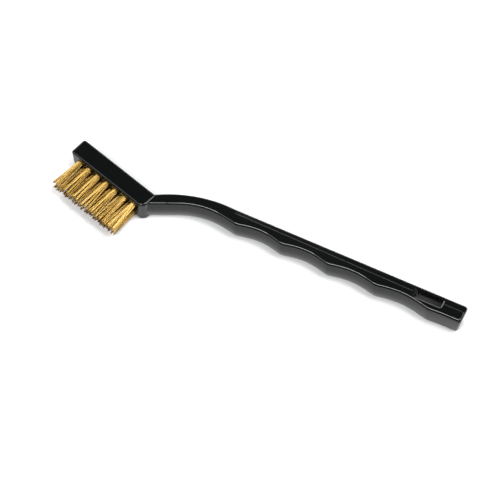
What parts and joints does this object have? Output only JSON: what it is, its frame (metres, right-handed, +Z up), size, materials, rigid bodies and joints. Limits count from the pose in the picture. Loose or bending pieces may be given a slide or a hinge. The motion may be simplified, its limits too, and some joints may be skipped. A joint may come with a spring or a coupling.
{
  "type": "wire brush",
  "caption": "Small hand wire brush with a one-piece moulded handle, finger grooves, a hang slot and staggered rows of brass wire tufts for scrubbing metal.",
  "frame": {"origin": "centre of the brush's bounding box, on the surface that it lies on", "axes": "+X along the grip from the head towards the butt, -Y the way the bristles and the finger grooves face, +Z up through the handle's thickness"},
  "size_m": [0.1792, 0.0318, 0.011],
  "materials": {
    "handle_plastic": "gloss",
    "brass_wire": "drawn wire",
    "anchor_steel": "plain"
  },
  "bodies": {
    "root": {"handle": "handle_plastic", "tuft_a1": "brass_wire", "tuft_a2": "brass_wire", "tuft_a3": "brass_wire", "tuft_a4": "brass_wire", "tuft_a5": "brass_wire", "tuft_a6": "brass_wire", "tuft_a7": "brass_wire", "tuft_b1": "brass_wire", "tuft_b2": "brass_wire", "tuft_b3": "brass_wire", "tuft_b4": "brass_wire", "tuft_b5": "brass_wire", "tuft_b6": "brass_wire", "tuft_c1": "brass_wire", "tuft_c2": "brass_wire", "tuft_c3": "brass_wire", "tuft_c4": "brass_wire", "tuft_c5": "brass_wire", "tuft_c6": "brass_wire", "tuft_c7": "brass_wire", "anchor_a1": "anchor_steel", "anchor_a2": "anchor_steel", "anchor_a3": "anchor_steel", "anchor_a4": "anchor_steel", "anchor_a5": "anchor_steel", "anchor_a6": "anchor_steel", "anchor_a7": "anchor_steel", "anchor_b1": "anchor_steel", "anchor_b2": "anchor_steel", "anchor_b3": "anchor_steel", "anchor_b4": "anchor_steel", "anchor_b5": "anchor_steel", "anchor_b6": "anchor_steel", "anchor_c1": "anchor_steel", "anchor_c2": "anchor_steel", "anchor_c3": "anchor_steel", "anchor_c4": "anchor_steel", "anchor_c5": "anchor_steel", "anchor_c6": "anchor_steel", "anchor_c7": "anchor_steel"}
  },
  "joints": []
}
